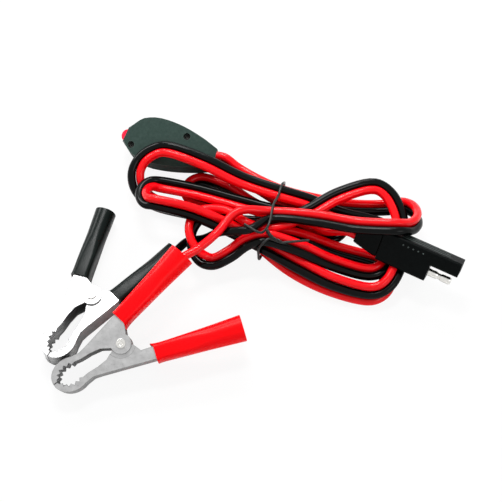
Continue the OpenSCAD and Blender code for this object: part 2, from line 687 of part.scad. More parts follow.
// The least gap of each hank tube to itself, measured on points; both values stay above 0.4
splits = 4;
apart = 12;
function dense(p) = [for (i = [0:len(p) - 2], k = [0:splits - 1]) p[i] + (p[i + 1] - p[i]) * k / splits];
function least_gap(path, first, last) =
    let (p = dense([for (i = [first:last]) path[i]]), n = len(p) - 1)
    min([for (i = [0:n - apart], j = [i + apart:n]) norm(p[i] - p[j])]) - wire_d;
echo(red_hank_gap = least_gap(red_long, long_from, long_from + long_rings));
echo(black_hank_gap = least_gap(black_long, long_from, long_from + long_rings));
echo(red_loop_gap = least_gap(red_short, red_loop_from, red_loop_from + short_rings));
echo(black_loop_gap = least_gap(black_short, black_loop_from, black_loop_from + short_rings));

red_fixed_lever();
red_moving_lever();
red_clip_rivet();
red_clip_spring();
red_fixed_sleeve();
red_moving_sleeve();
red_wire_lug();
red_wire_core();
black_fixed_lever();
black_moving_lever();
black_clip_rivet();
black_clip_spring();
black_fixed_sleeve();
black_moving_sleeve();
black_wire_lug();
black_wire_core();
switch_upper_shell();
switch_lower_shell();
switch_screws();
switch_body();
switch_rocker();
switch_contact_bar();
switch_terminals();
switch_red_wires();
switch_black_wires();
switch_splice();
switch_grommet();
plug_moulding();
plug_pin();
plug_socket();
plug_boot();
red_clip_lead();
black_clip_lead();
red_short_loop();
black_short_loop();
red_switch_lead();
black_switch_lead();
red_hank();
black_hank();
red_outlet_lead();
black_outlet_lead();
red_plug_lead();
black_plug_lead();
hank_tie();
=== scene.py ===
"""Battery lead set: two sprung clips, a tied hank of twin lead, a rocker switch and a two-pole plug."""
import json
import math
import bpy
import bmesh
from mathutils import Matrix, Vector


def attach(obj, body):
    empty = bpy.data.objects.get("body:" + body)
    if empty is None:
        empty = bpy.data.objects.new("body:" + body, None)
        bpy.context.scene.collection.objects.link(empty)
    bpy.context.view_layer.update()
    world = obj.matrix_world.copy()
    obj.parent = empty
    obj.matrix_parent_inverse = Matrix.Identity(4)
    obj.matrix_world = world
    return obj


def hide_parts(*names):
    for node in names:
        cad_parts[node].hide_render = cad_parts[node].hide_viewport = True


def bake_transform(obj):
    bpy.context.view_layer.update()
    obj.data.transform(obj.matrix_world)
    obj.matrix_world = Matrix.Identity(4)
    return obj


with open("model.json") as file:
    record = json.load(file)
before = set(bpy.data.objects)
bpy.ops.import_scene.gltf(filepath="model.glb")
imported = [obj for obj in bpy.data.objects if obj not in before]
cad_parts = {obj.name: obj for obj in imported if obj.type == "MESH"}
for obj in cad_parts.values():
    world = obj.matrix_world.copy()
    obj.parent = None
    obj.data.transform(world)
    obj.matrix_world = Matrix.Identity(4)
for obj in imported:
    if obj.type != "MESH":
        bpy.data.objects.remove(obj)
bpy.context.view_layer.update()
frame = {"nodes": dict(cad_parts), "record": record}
NODES = frame["nodes"]
BODIES = frame["record"]["behaviour"]["bodies"]
MM = 0.001


def body_of(node):
    return next(b for b, nodes in BODIES.items() if node in nodes)


# ---------------------------------------------------------------- camera
# The photograph looks down at 65 degrees; its middle is the middle of the whole lead set.
VIEW_AT = Vector((0.0467, 0.00375, 0.0))
VIEW_ELEVATION = math.radians(65)
VIEW_DISTANCE = 0.6
camera_data = bpy.data.cameras.new("camera")
camera_data.lens = 93.5
camera_data.sensor_width = 36
camera_data.clip_start = 0.02
camera = bpy.data.objects.new("camera", camera_data)
camera.location = VIEW_AT + VIEW_DISTANCE * Vector((0, -math.cos(VIEW_ELEVATION), math.sin(VIEW_ELEVATION)))
camera.rotation_euler = (math.pi / 2 - VIEW_ELEVATION, 0, 0)
bpy.context.scene.collection.objects.link(camera)
bpy.context.scene.camera = camera

# ---------------------------------------------------------------- places, as in the CAD source, in metres
LAY = Vector((0.0467, 0.00375, 0))


def placement(at, turn, mirror=False):
    """A matrix that puts an assembly's own frame where it lies."""
    x, y, z = (math.radians(a) for a in turn)
    m = (Matrix.Translation(LAY + Vector(at)) @ Matrix.Rotation(z, 4, "Z")
         @ Matrix.Rotation(y, 4, "Y") @ Matrix.Rotation(x, 4, "X"))
    return m @ Matrix.Scale(-1, 4, (0, 1, 0)) if mirror else m


RED_CLIP = ((-0.0564, -0.05, 0.0104), (12.5, -8, 31))
BLACK_CLIP = ((-0.0709, -0.0264, 0.006), (0, 0, 58.7))
SWITCH = ((-0.0587, 0.0556, 0.0087), (15, 0, -15))
PLUG = ((0.0586, -0.0032, 0.016), (50, 0, -26.7))

# ---------------------------------------------------------------- route, as in the CAD source, in metres
# The passes, lobes, bends and tails weren't chosen by hand: a search program worked them out.
# Only the waist, the tie, and the short lobe's Y and height out were set one by one.
WIRE_D = 0.0039
HALF_PITCH = 0.002
# <route>
WAIST_AT = Vector((0.0095, 0.0125))
WAIST_LINE = 72
RUN_STEPS = 3
ARC_STEPS = 6
SHORT_PASSES = [(-0.002, 0.016, 3, 0), (0.0145, 0.0075, -18, 180)]
LONG_PASSES = [
    (0.0035, 0.0085, -14, 0), (-0.0145, 0.0095, -29.5, 0), (-0.0055, 0.013, 1, 0), (-0.014, 0.016, -6, 0),
    (0.012, 0.012, -11, 0), (-0.0065, 0.0085, -3.5, 0), (-0.0125, 0.004, -48, 0), (0.0035, 0.004, -21, 0),
    (0.013, 0.004, -29, 0)]
SHORT_LOBES = [(0.065, 0.0105, 6, 0.0105, 0.0105, 1, 0.025, 0.003, 0, 180)]
LONG_LOBES = [
    (-0.0435, 0.0225, 172, 0.006, 0.007, 1, 0.01, 0.019, 0, 60),
    (0.056, 0.0015, -2, 0.0125, 0.0245, 1, 0.007, 0.0145, 45, 0),
    (-0.019, 0.0025, 190, 0.0085, 0.0115, 1, 0.0115, 0.0075, 180, 0),
    (0.054, -0.001, -5, 0.01, 0.0125, 1, 0.006, 0.0065, 0, 0),
    (-0.0415, 0.033, 170, 0.012, 0.0105, 1, 0.0185, 0.0035, 0, 0),
    (0.053, -0.0145, -10, 0.009, 0.0095, -1, 0.002, 0.002, 0, 0),
    (-0.023, 0.03, 170, 0.006, 0.0055, -1, 0.002, 0.002, 0, 0),
    (0.0355, 0.012, -10, 0.006, 0.0055, 1, 0.002, 0.002, 0, 0)]
RED_CLIP_BEND = [(-0.023, -0.0075, 0.0195), (-0.0155, -0.001, 0.0205), (-0.006, 0.0105, 0.0195)]
BLACK_CLIP_BEND = [
    (-0.029, 0.004, 0.002), (-0.022, 0.0035, 0.0055), (-0.0135, 0.002, 0.016), (-0.001, 0.001, 0.0205)]
PLUG_LEAD = [(0.035, 0.0075, 0.0095, 0), (0.0275, 0.0125, 0.0075, 0)]
SHORT_TAIL = [(0.0035, 0.0305, 0.009, 180), (-0.007, 0.037, 0.0095, 180)]
LONG_TAIL = [(0.0035, 0.0325, 0.0025, 0), (-0.008, 0.039, 0.004, 0)]
TIE_ROUTE = [
    (-0.003, 0.0025, 0.023), (0.004, -0.0015, 0.0225), (0.0065, 0.001, 0.0205), (0.0085, 0.006, 0.0188),
    (0.01, 0.014, 0.0188), (0.0125, 0.021, 0.0152), (0.0142, 0.0266, 0.015), (0.0153, 0.0294, 0.0116),
    (0.0155, 0.031, 0.008), (0.0152, 0.0302, 0.0042), (0.0145, 0.028, 0.001), (0.005, -0.002, 0.0009),
    (0.0038, -0.0052, 0.0026), (0.0034, -0.0064, 0.0095), (0.0035, -0.006, 0.0155),
    (0.0055, -0.0046, 0.0186), (0.008, -0.0028, 0.019), (0.011, -0.0036, 0.0188), (0.014, -0.0046, 0.0186),
    (0.016, -0.0042, 0.0184), (0.026, -0.0026, 0.017)]
# </route>


def along(a):
    return Vector((math.cos(math.radians(a)), math.sin(math.radians(a))))


def ease(s):
    return s * s * (3 - 2 * s)


def pass_point(p):
    at = WAIST_AT + p[0] * along(WAIST_LINE)
    return (at.x, at.y, p[1], p[3])


def run_points(p, tp, q, tq):
    a, b = Vector(p[:2]), Vector(q[:2])
    m = (b - a).length
    out = []
    for i in range(1, RUN_STEPS):
        s = i / RUN_STEPS
        e = ease(s)
        at = a * (1 - e) + b * e + m * s * (1 - s) ** 2 * tp + m * s * s * (s - 1) * tq
        out.append((at.x, at.y, p[2] + (q[2] - p[2]) * e, p[3] + (q[3] - p[3]) * e))
    return out


def lobe_points(start, end, l, side):
    u, v = along(l[2]), along(l[2] + 90 * l[5])
    arc = []
    for i in range(ARC_STEPS + 1):
        s = i / ARC_STEPS
        at = Vector(l[:2]) + l[3] * math.sin(math.pi * s) * u - l[4] * math.cos(math.pi * s) * v
        arc.append((at.x, at.y, l[6] + (l[7] - l[6]) * s, l[8] + (l[9] - l[8]) * s))
    first, last = pass_point(start), pass_point(end)
    return ([first] + run_points(first, side * along(start[2]), arc[0], u) + arc
            + run_points(arc[-1], -u, last, -side * along(end[2])))


def hank_points(passes, lobes, side):
    out = []
    for i, l in enumerate(lobes):
        out += lobe_points(passes[i], passes[i + 1], l, side if i % 2 == 0 else -side)
    return out + [pass_point(passes[len(lobes)])]


def conductor(p, side):
    """The centre line of one conductor, beside the pair's route p."""
    n = len(p) - 1
    out = []
    for i in range(n + 1):
        a, b = max(i, 1), min(i, n - 1)
        before = (Vector(p[a][:2]) - Vector(p[a - 1][:2])).normalized()
        after = (Vector(p[b + 1][:2]) - Vector(p[b][:2])).normalized()
        w = (before + after).normalized()
        c, s, h = math.cos(math.radians(p[i][3])), math.sin(math.radians(p[i][3])), side * HALF_PITCH
        out.append(Vector((p[i][0] - h * c * w.y, p[i][1] + h * c * w.x, p[i][2] + h * s)))
    return out


def local(place, point, roll=None):
    """A point of an assembly's own frame, in the route's frame, with the pair's roll."""
    q = placement(*place) @ Vector(point) - LAY
    return tuple(q) if roll is None else (*q, roll)


END_L = 0.004
BOX_L, TAIL_Y, TAIL_Z, BOOT_L = 0.044, -0.0014, 0.0021, 0.012
SLEEVE_FROM = Vector((0.005, 0.0098, 0))
SLEEVE_ANGLE = math.radians(15.3)
HANDLE = Vector((math.cos(SLEEVE_ANGLE), math.sin(SLEEVE_ANGLE), 0))
LUG_END = 0.026
short_end = [local(SWITCH, (BOX_L + l, TAIL_Y, TAIL_Z), 180 - SWITCH[1][0]) for l in (END_L, 0)]
long_end = [local(SWITCH, (BOX_L + l, TAIL_Y, -TAIL_Z), -SWITCH[1][0]) for l in (END_L, 0)]
plug_end = [local(PLUG, (-BOOT_L - l, 0, 0), -PLUG[1][0]) for l in (0, END_L)]
red_clip_end = [local(RED_CLIP, SLEEVE_FROM + (LUG_END + l) * HANDLE) for l in (0, 0.004, 0.009)]
black_clip_end = [local(BLACK_CLIP, (SLEEVE_FROM + (LUG_END + l) * HANDLE) * Vector((1, -1, 1)))
                  for l in (0, 0.004, 0.009)]
short_pair = hank_points(SHORT_PASSES, SHORT_LOBES, 1) + SHORT_TAIL + short_end
long_pair = plug_end + PLUG_LEAD + hank_points(LONG_PASSES, LONG_LOBES, -1) + LONG_TAIL + long_end
ROUTES = {
    "red_short": [Vector(p) for p in red_clip_end + RED_CLIP_BEND] + conductor(short_pair, 1),
    "black_short": [Vector(p) for p in black_clip_end + BLACK_CLIP_BEND] + conductor(short_pair, -1),
    "red_long": conductor(long_pair, 1),
    "black_long": conductor(long_pair, -1),
}


def smooth_line(points, steps=6):
    """Points of a centripetal Catmull-Rom curve through the given points."""
    p = [points[0] + (points[0] - points[1])] + list(points) + [points[-1] + (points[-1] - points[-2])]
    out = []
    for i in range(1, len(p) - 2):
        a, b, c, d = p[i - 1:i + 3]
        t1 = max((b - a).length, 1e-9) ** 0.5
        t2 = t1 + max((c - b).length, 1e-9) ** 0.5
        t3 = t2 + max((d - c).length, 1e-9) ** 0.5
        for k in range(steps):
            t = t1 + (t2 - t1) * k / steps
            ab, bc, cd = (a.lerp(b, t / t1), b.lerp(c, (t - t1) / (t2 - t1)), c.lerp(d, (t - t2) / (t3 - t2)))
            abc, bcd = ab.lerp(bc, t / t2), bc.lerp(cd, (t - t1) / (t3 - t1))
            out.append(abc.lerp(bcd, (t - t1) / (t2 - t1)))
    return out + [p[-2]]


# ---------------------------------------------------------------- materials
def tint(r, g, b):
    """Linear colour of an sRGB colour given in 0 to 255."""
    def lin(c):
        c /= 255
        return c / 12.92 if c <= 0.04045 else ((c + 0.055) / 1.055) ** 2.4
    return (lin(r), lin(g), lin(b), 1.0)


def finish_material(name, low, high, rough, rough_spread=0.06, metallic=0.0, scale=300, stretch=(1, 1, 1),
                    bump=0.02, bump_scale=900, coat=0.0, coat_rough=0.15, specular=0.5, edge=None, edge_w=0.3,
                    edge_share=1.0, spots=0.0):
    """A surface with a mottled colour, uneven roughness and a fine grain, and optionally painted light along
    its edges: a lighter edge tone paints a highlight there, a darker one paints shade.
    """
    m = bpy.data.materials.new(name)
    m.use_nodes = True
    nodes, links = m.node_tree.nodes, m.node_tree.links
    bsdf = nodes["Principled BSDF"]
    bsdf.inputs["Metallic"].default_value = metallic
    bsdf.inputs["Specular IOR Level"].default_value = specular
    bsdf.inputs["Coat Weight"].default_value = coat
    bsdf.inputs["Coat Roughness"].default_value = coat_rough
    coords = nodes.new("ShaderNodeTexCoord")
    mapping = nodes.new("ShaderNodeMapping")
    mapping.inputs["Scale"].default_value = stretch
    links.new(coords.outputs["Object"], mapping.inputs["Vector"])

    def noise(scale, detail):
        n = nodes.new("ShaderNodeTexNoise")
        n.inputs["Scale"].default_value = scale
        n.inputs["Detail"].default_value = detail
        links.new(mapping.outputs["Vector"], n.inputs["Vector"])
        return n.outputs["Fac"]

    ramp = nodes.new("ShaderNodeValToRGB")
    ramp.color_ramp.elements[0].position, ramp.color_ramp.elements[1].position = 0.3, 0.7
    ramp.color_ramp.elements[0].color, ramp.color_ramp.elements[1].color = low, high
    links.new(noise(scale, 4), ramp.inputs["Fac"])
    colour = ramp.outputs["Color"]
    if spots:
        fleck = nodes.new("ShaderNodeValToRGB")
        fleck.color_ramp.elements[0].position, fleck.color_ramp.elements[1].position = 0.60, 0.72
        fleck.color_ramp.elements[0].color = (0, 0, 0, 1)
        fleck.color_ramp.elements[1].color = (spots, spots, spots, 1)
        links.new(noise(scale * 4, 2), fleck.inputs["Fac"])
        mix = nodes.new("ShaderNodeMix")
        mix.data_type = "RGBA"
        links.new(fleck.outputs["Color"], mix.inputs["Factor"])
        links.new(colour, mix.inputs["A"])
        mix.inputs["B"].default_value = tuple(c * 0.45 for c in high[:3]) + (1,)
        colour = mix.outputs["Result"]
    # Edges in a tone of their own, found where the Bevel node's rounded normal leaves the surface normal: a
    # lighter tone is a painted edge highlight, a darker tone is painted edge shade.
    if edge:
        geometry = nodes.new("ShaderNodeNewGeometry")
        rounded = nodes.new("ShaderNodeBevel")
        rounded.samples = 6
        rounded.inputs["Radius"].default_value = edge_w * MM
        match = nodes.new("ShaderNodeVectorMath")
        match.operation = "DOT_PRODUCT"
        links.new(rounded.outputs["Normal"], match.inputs[0])
        links.new(geometry.outputs["Normal"], match.inputs[1])
        painted_edge_mask = nodes.new("ShaderNodeMapRange")
        painted_edge_mask.inputs["From Min"].default_value, painted_edge_mask.inputs["From Max"].default_value = 0.995, 0.9
        painted_edge_mask.inputs["To Max"].default_value = edge_share
        links.new(match.outputs["Value"], painted_edge_mask.inputs["Value"])
        mix = nodes.new("ShaderNodeMix")
        mix.data_type = "RGBA"
        links.new(painted_edge_mask.outputs["Result"], mix.inputs["Factor"])
        links.new(colour, mix.inputs["A"])
        mix.inputs["B"].default_value = edge
        colour = mix.outputs["Result"]
    links.new(colour, bsdf.inputs["Base Color"])
    spread = nodes.new("ShaderNodeMapRange")
    spread.inputs["To Min"].default_value, spread.inputs["To Max"].default_value = (
        max(0.02, rough - rough_spread), rough + rough_spread)
    links.new(noise(scale * 1.7, 3), spread.inputs["Value"])
    links.new(spread.outputs["Result"], bsdf.inputs["Roughness"])
    grain = nodes.new("ShaderNodeBump")
    grain.inputs["Strength"].default_value = 0.6
    grain.inputs["Distance"].default_value = bump * MM
    links.new(noise(bump_scale, 5), grain.inputs["Height"])
    links.new(grain.outputs["Normal"], bsdf.inputs["Normal"])
    return m


MAT = {
    "red_insulation": finish_material("red_insulation", tint(236, 1, 12), tint(252, 3, 20), 0.22, 0.05,
                                      scale=120, bump=0.03, bump_scale=500, specular=0.1, coat=0.22,
                                      coat_rough=0.08),
    "black_insulation": finish_material("black_insulation", tint(0, 1, 1), tint(3, 5, 5), 0.2, 0.05,
                                        scale=120, bump=0.03, bump_scale=500, specular=0.05, coat=0.14,
                                        coat_rough=0.08),
    "red_sleeve": finish_material("red_sleeve", tint(248, 1, 8), tint(255, 2, 14), 0.32, 0.06,
                                  scale=90, bump=0.10, bump_scale=260, specular=0.11),
    "black_sleeve": finish_material("black_sleeve", tint(0, 8, 6), tint(6, 16, 14), 0.30, 0.06,
                                    scale=90, bump=0.10, bump_scale=260, specular=0.12),
    # The dark edge tone on the clip steel is painted shade along the plate edges.
    "clip_steel": finish_material("clip_steel", (0.40, 0.40, 0.40, 1), (0.50, 0.50, 0.50, 1), 0.34, 0.08,
                                  metallic=1.0, scale=420, stretch=(1, 1, 1), bump=0.03, bump_scale=1600,
                                  edge=(0.12, 0.12, 0.12, 1), edge_w=0.35, edge_share=0.8, spots=0.5),
    "plated_steel": finish_material("plated_steel", (0.62, 0.61, 0.58, 1), (0.80, 0.79, 0.76, 1), 0.24, 0.07,
                                    metallic=1.0, scale=600, bump=0.02, bump_scale=1800),
    "bare_copper": finish_material("bare_copper", (0.55, 0.24, 0.12, 1), (0.72, 0.38, 0.2, 1), 0.3, 0.08,
                                   metallic=1.0, scale=600, bump=0.02, bump_scale=1500),
    # The lighter edge tone on the box is a painted highlight along its rounded edges.
    "box_grey": finish_material("box_grey", tint(42, 58, 53), tint(50, 66, 61), 0.46, 0.05,
                                scale=700, bump=0.10, bump_scale=1500, specular=0.06,
                                edge=tint(84, 96, 92), edge_w=0.4, edge_share=0.7),
    # The light edge tone on the switch body is a painted highlight along its edges.
    "switch_black": finish_material("switch_black", tint(4, 5, 5), tint(12, 14, 14), 0.35, 0.06,
                                    scale=500, bump=0.04, bump_scale=1500, specular=0.2,
                                    edge=tint(120, 122, 116), edge_w=0.4),
    "rocker_red": finish_material("rocker_red", tint(232, 6, 48), tint(248, 16, 60), 0.22, 0.05,
                                  scale=300, bump=0.02, bump_scale=1500, specular=0.3),
    # The grey edge tone on the plug is a painted highlight along its rounded edges.
    "plug_black": finish_material("plug_black", tint(0, 2, 2), tint(3, 6, 6), 0.34, 0.08,
                                  scale=500, bump=0.08, bump_scale=1100, specular=0.06,
                                  edge=tint(48, 54, 52), edge_w=0.35, edge_share=0.8),
    # The bumps and ribs are the same black moulding as the plug; their lighter grey is a painted highlight.
    "plug_details": finish_material("plug_details", tint(52, 60, 58), tint(66, 74, 72), 0.34, 0.08,
                                    scale=500, bump=0.04, bump_scale=1100, specular=0.2),
    "tie_black": finish_material("tie_black", tint(12, 14, 13), tint(28, 31, 29), 0.30, 0.08,
                                 scale=900, bump=0.03, bump_scale=1500, specular=0.3),
}


def paint(obj, slot):
    obj.data.materials.clear()
    obj.data.materials.append(MAT[slot])
    return obj


# ---------------------------------------------------------------- making pieces
def add(name, data):
    obj = bpy.data.objects.new(name, data)
    bpy.context.scene.collection.objects.link(obj)
    return obj


def shade(obj, angle=35):
    """Smooth shading, with creases only where faces meet at more than the angle."""
    me = obj.data
    me.polygons.foreach_set("use_smooth", [True] * len(me.polygons))
    bm = bmesh.new()
    bm.from_mesh(me)
    for e in bm.edges:
        e.smooth = not (len(e.link_faces) == 2 and e.calc_face_angle(0) > math.radians(angle))
    bm.to_mesh(me)
    bm.free()
    return obj


def refined(node, name, slot, bevel=0.15, segments=2, angle=32, also=()):
    """A detailed copy of a CAD node: flat faces joined up, and its edges rounded."""
    me = NODES[node].data.copy()
    me.name = name
    bm = bmesh.new()
    bm.from_mesh(me)
    bmesh.ops.remove_doubles(bm, verts=bm.verts, dist=0.002 * MM)
    bmesh.ops.dissolve_limit(bm, angle_limit=math.radians(0.6), verts=bm.verts, edges=bm.edges)
    bm.to_mesh(me)
    bm.free()
    obj = add(name, me)
    shade(obj, angle)
    if bevel:
        mod = obj.modifiers.new("rounded_edges", "BEVEL")
        mod.width = bevel * MM
        mod.segments = segments
        mod.limit_method = "ANGLE"
        mod.angle_limit = math.radians(angle)
        mod.use_clamp_overlap = True
        mod.harden_normals = True
    paint(obj, slot)
    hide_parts(node, *also)
    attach(obj, body_of(node))
    return obj


def swept(name, points, radius, slot, sides=12, smooth_steps=6):
    """A closed round tube through the points, as a mesh."""
    line = [Vector(p) for p in points]
    if smooth_steps:
        line = smooth_line(line, smooth_steps)
    bm = bmesh.new()
    t = (line[1] - line[0]).normalized()
    a = t.orthogonal().normalized()
    rings = []
    for i, p in enumerate(line):
        nxt = (line[min(i + 1, len(line) - 1)] - line[max(i - 1, 0)]).normalized()
        a = (t.rotation_difference(nxt) @ a)
        a = (a - a.dot(nxt) * nxt).normalized()
        t = nxt
        b = t.cross(a)
        r = radius(i / (len(line) - 1)) if callable(radius) else radius
        rings.append([bm.verts.new(p + r * (math.cos(2 * math.pi * k / sides) * a
                                            + math.sin(2 * math.pi * k / sides) * b)) for k in range(sides)])
    for r0, r1 in zip(rings, rings[1:]):
        for k in range(sides):
            bm.faces.new((r0[k], r0[(k + 1) % sides], r1[(k + 1) % sides], r1[k]))
    bm.faces.new(reversed(rings[0]))
    bm.faces.new(rings[-1])
    bmesh.ops.recalc_face_normals(bm, faces=bm.faces)
    me = bpy.data.meshes.new(name)
    bm.to_mesh(me)
    bm.free()
    obj = add(name, me)
    shade(obj, 60)
    paint(obj, slot)
    return obj


# ---------------------------------------------------------------- cords
def cord_piece(name, points, slot, nodes):
    line = smooth_line([LAY + p for p in points])
    curve = bpy.data.curves.new(name, "CURVE")
    curve.dimensions = "3D"
    curve.bevel_depth = WIRE_D / 2
    curve.bevel_resolution = 4
    curve.use_fill_caps = True
    spline = curve.splines.new("POLY")
    spline.points.add(len(line) - 1)
    spline.points.foreach_set("co", [c for p in line for c in (*p, 1.0)])
    spline.use_smooth = True
    obj = add(name, curve)
    paint(obj, slot)
    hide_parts(*nodes)
    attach(obj, "lead_set")
    return obj


cord_piece("red_short_cord", ROUTES["red_short"], "red_insulation",
           ["red_clip_lead", "red_short_loop", "red_switch_lead"])
cord_piece("black_short_cord", ROUTES["black_short"], "black_insulation",
           ["black_clip_lead", "black_short_loop", "black_switch_lead"])
red_long_line = list(reversed(ROUTES["red_long"]))
black_long_line = list(reversed(ROUTES["black_long"]))

# ---------------------------------------------------------------- plug
plug_piece = refined("plug_moulding", "plug_moulding_piece", "plug_black", bevel=0.35, segments=3)
boot_piece = refined("plug_boot", "plug_boot_piece", "plug_black", bevel=0.5, segments=3)
PLUG_TOP, RIB_SIDE = 0.004, 0.0074
BUMPS, BUMP_FROM, BUMP_STEP, BUMP_Y, BUMP_R = 5, 0.0098, 0.0024, 0.0049, 0.00042
RIB_MIDDLE, RIB_STEP, RIB_W, RIB_STRETCH = 0.0155, 0.0016, 0.0004, 76


def plug_details():
    """Five small bumps near the edge of the wide face, and three ribs along the side strip."""
    bm = bmesh.new()
    m = placement(*PLUG)
    for i in range(BUMPS):
        at = Matrix.Translation((BUMP_FROM + BUMP_STEP * i, BUMP_Y, PLUG_TOP))
        bmesh.ops.create_uvsphere(bm, u_segments=10, v_segments=6, radius=BUMP_R, matrix=m @ at)
    for z in (-RIB_STEP, 0, RIB_STEP):
        at = Matrix.Translation((RIB_MIDDLE, RIB_SIDE, z)) @ Matrix.Scale(RIB_STRETCH, 4, (1, 0, 0))
        bmesh.ops.create_cube(bm, size=RIB_W, matrix=m @ at)
    me = bpy.data.meshes.new("plug_details_piece")
    bm.to_mesh(me)
    bm.free()
    return me


socket_piece = refined("plug_socket", "plug_socket_piece", "plated_steel", bevel=0.12)
pin_piece = refined("plug_pin", "plug_pin_piece", "plated_steel", bevel=0.15)

# ---------------------------------------------------------------- tie
TWIST_LINE = [
    (0.0069, 0.001, 0.0208), (0.0082, -0.0012, 0.0203), (0.01, -0.003, 0.0196), (0.0136, -0.0044, 0.0189)]
TWIST_STEPS = 16
TWIST_R, TWIST_WIRE_R, TWIST_TURNS = 0.00045, 0.00048, 3


def twist_strand(phase):
    """One strand of the twist that closes the tie."""
    line = smooth_line([LAY + Vector(p) for p in TWIST_LINE], TWIST_STEPS)
    up = Vector((0, 0, 1))
    out = []
    for i, p in enumerate(line):
        t = (line[min(i + 1, len(line) - 1)] - line[max(i - 1, 0)]).normalized()
        a = t.cross(up).normalized()
        b = t.cross(a)
        turn = phase + 2 * math.pi * TWIST_TURNS * i / (len(line) - 1)
        out.append(p + TWIST_R * (math.cos(turn) * a + math.sin(turn) * b))
    return out


TIE_R = 0.0006
tie_line = [Vector((p.x, p.y, max(p.z, TIE_R))) for p in smooth_line([LAY + Vector(q) for q in TIE_ROUTE])]
tie = swept("tie_wire", tie_line, TIE_R, "tie_black", sides=10, smooth_steps=0)
tie_mesh = bmesh.new()
tie_mesh.from_mesh(tie.data)
for phase in (0, math.pi):
    strand = swept("twist_strand", twist_strand(phase), TWIST_WIRE_R, "tie_black", sides=10, smooth_steps=0)
    tie_mesh.from_mesh(strand.data)
    bpy.data.objects.remove(strand)
tie_mesh.to_mesh(tie.data)
tie_mesh.free()
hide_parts("hank_tie")
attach(tie, "lead_set")

# Painted in plug_details, a lighter grey than the plug: a painted highlight on the bumps and ribs.
details_piece = shade(add("plug_details_piece", plug_details()))
paint(details_piece, "plug_details")
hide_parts("plug_moulding")
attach(details_piece, "lead_set")
cord_piece("red_long_cord", red_long_line, "red_insulation",
           ["red_plug_lead", "red_hank", "red_outlet_lead"])
cord_piece("black_long_cord", black_long_line, "black_insulation",
           ["black_plug_lead", "black_hank", "black_outlet_lead"])

# ---------------------------------------------------------------- battery clips
CLIP_DEPTH = 0.010
SLEEVE_WALL = 0.0007
SLEEVE_H = CLIP_DEPTH + 0.0006 + 2 * SLEEVE_WALL
SLEEVE_START_W = 0.0078
FLARE, FLARE_L = 0.00035, 0.0012
BEAK, BEAK_SIDE, BEAK_L = 0.0014, 0.0006, 0.0025
RED_SLEEVE_L, RED_END_W, RED_SLIP = 0.0396, 0.012, 0.0058
BLACK_SLEEVE_L, BLACK_END_W = 0.035, 0.0096


def sleeve_piece(name, node, slot, place, mirror, length, end_w, slip=0.0):
    """A dipped vinyl sleeve: square round the handle, oval at its open end, with a lip at the start."""
    base = placement(*place, mirror)
    turn = Matrix.Rotation(SLEEVE_ANGLE, 4, "Z")
    sides, stations = 56, 30

    def section(x, inset):
        s = min(max(x / length, 0), 1)
        bulge = ease(min(1, max(0, (s - 0.05) / 0.65)))
        w = (SLEEVE_START_W + (end_w - SLEEVE_START_W) * s) / 2 - inset
        h = SLEEVE_H / 2 - inset - 0.0009 * bulge
        n = 5 - 2.8 * bulge
        flare = FLARE * math.exp(-x / FLARE_L)
        ring = []
        for k in range(sides):
            a = 2 * math.pi * k / sides
            c, q = math.cos(a), math.sin(a)
            y = (w + flare) * math.copysign(abs(c) ** (2 / n), c)
            z = h * math.copysign(abs(q) ** (2 / n), q)
            inner_side = max(0.0, -c)
            beak = inner_side ** 3 * math.exp(-x / BEAK_L)
            ring.append(Vector((x - BEAK * beak, y - BEAK_SIDE * beak, z * (1 - 0.10 * beak))))
        return ring

    xs = [length * (i / stations) ** 1.15 for i in range(stations + 1)]
    bm = bmesh.new()
    rings = [section(x, 0.0) for x in xs]
    lip = section(length, SLEEVE_WALL * 0.35)
    rings.append([v + Vector((0.00012, 0, 0)) for v in lip])
    rings += [section(x, SLEEVE_WALL) for x in reversed(xs)]
    loops = []
    for ring in rings:
        loops.append([bm.verts.new(base @ (SLEEVE_FROM + turn @ (v + Vector((slip, 0, 0))))) for v in ring])
    for r0, r1 in zip(loops, loops[1:] + loops[:1]):
        for k in range(sides):
            bm.faces.new((r0[k], r0[(k + 1) % sides], r1[(k + 1) % sides], r1[k]))
    bmesh.ops.recalc_face_normals(bm, faces=bm.faces)
    me = bpy.data.meshes.new(name)
    bm.to_mesh(me)
    bm.free()
    obj = add(name, me)
    shade(obj, 55)
    paint(obj, slot)
    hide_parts(node)
    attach(obj, body_of(node))
    return obj


sleeve_piece("red_lead_sleeve", "red_fixed_sleeve", "red_sleeve", RED_CLIP, False, RED_SLEEVE_L, RED_END_W)
sleeve_piece("red_loose_sleeve", "red_moving_sleeve", "red_sleeve", RED_CLIP, True,
             RED_SLEEVE_L, RED_END_W, slip=RED_SLIP)
sleeve_piece("black_lead_sleeve", "black_fixed_sleeve", "black_sleeve", BLACK_CLIP, True,
             BLACK_SLEEVE_L, BLACK_END_W)
sleeve_piece("black_loose_sleeve", "black_moving_sleeve", "black_sleeve", BLACK_CLIP, False,
             BLACK_SLEEVE_L, BLACK_END_W)

NARROW_FROM, NARROW_TO = 0.009, 0.016
NARROW_W, NARROW_H = 0.2, 0.38


